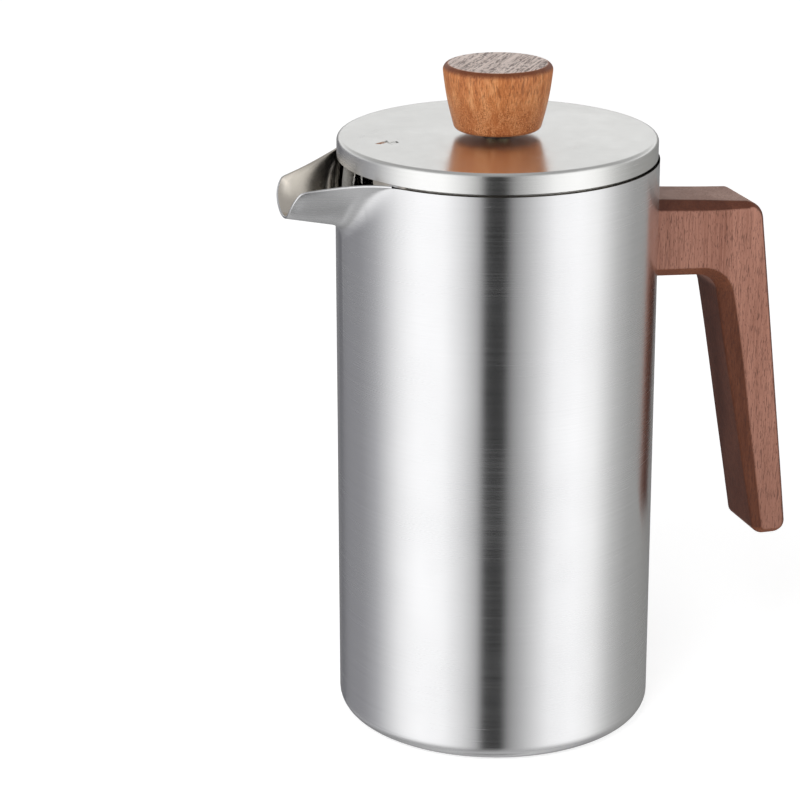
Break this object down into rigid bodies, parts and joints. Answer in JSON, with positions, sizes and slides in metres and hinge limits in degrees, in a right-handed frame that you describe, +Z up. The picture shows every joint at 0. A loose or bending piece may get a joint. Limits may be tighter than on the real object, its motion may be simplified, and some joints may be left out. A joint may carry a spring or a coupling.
{
  "type": "french press",
  "caption": "Double-walled steel french press with a pouring spout, flat lid, wooden knob and handle; the plunger slides and turns in the lid and pushes a sprung mesh filter down the pot.",
  "frame": {"origin": "centre of the flat base, on the surface the press stands on", "axes": "+Z up along the pot and the plunger rod, +X towards the handle, -X towards the spout"},
  "size_m": [0.1797, 0.108, 0.2284],
  "materials": {
    "shell_steel": "brushed",
    "liner_steel": "satin",
    "lid_steel": "satin",
    "polished_steel": "polished",
    "spring_steel": "bright wire",
    "mesh_steel": "woven mesh",
    "handle_wood": "oiled",
    "knob_wood": "oiled",
    "brass": "turned"
  },
  "bodies": {
    "vessel": {"outer_shell": "shell_steel", "inner_liner": "liner_steel", "base_plate": "shell_steel", "handle": "handle_wood", "handle_screw_upper": "polished_steel", "handle_screw_lower": "polished_steel", "handle_insert_upper": "brass", "handle_insert_lower": "brass"},
    "lid_guide": {"rod_bushing": "polished_steel", "bushing_nut": "polished_steel"},
    "lid": {"lid_cover": "lid_steel", "lid_skirt": "polished_steel"},
    "plunger": {"knob": "knob_wood", "knob_insert": "brass", "plunger_rod": "polished_steel", "spring_plate": "shell_steel", "coil_spring": "spring_steel", "mesh_screen": "mesh_steel", "mesh_binding": "shell_steel", "cross_plate": "shell_steel", "clamp_sleeve": "polished_steel"}
  },
  "joints": [
    {"name": "lid_lift", "type": "slide", "parent": "vessel", "child": "lid_guide", "axis": [0, 0, 1], "range_m": [0, 0.2]},
    {"name": "lid_turn", "type": "hinge", "parent": "lid_guide", "child": "lid", "pos_m": [0, 0, 0.2043], "axis": [0, 0, 1], "continuous": true},
    {"name": "plunger_slide", "type": "slide", "parent": "lid_guide", "child": "plunger", "axis": [0, 0, 1], "range_m": [0, 0.151]}
  ]
}
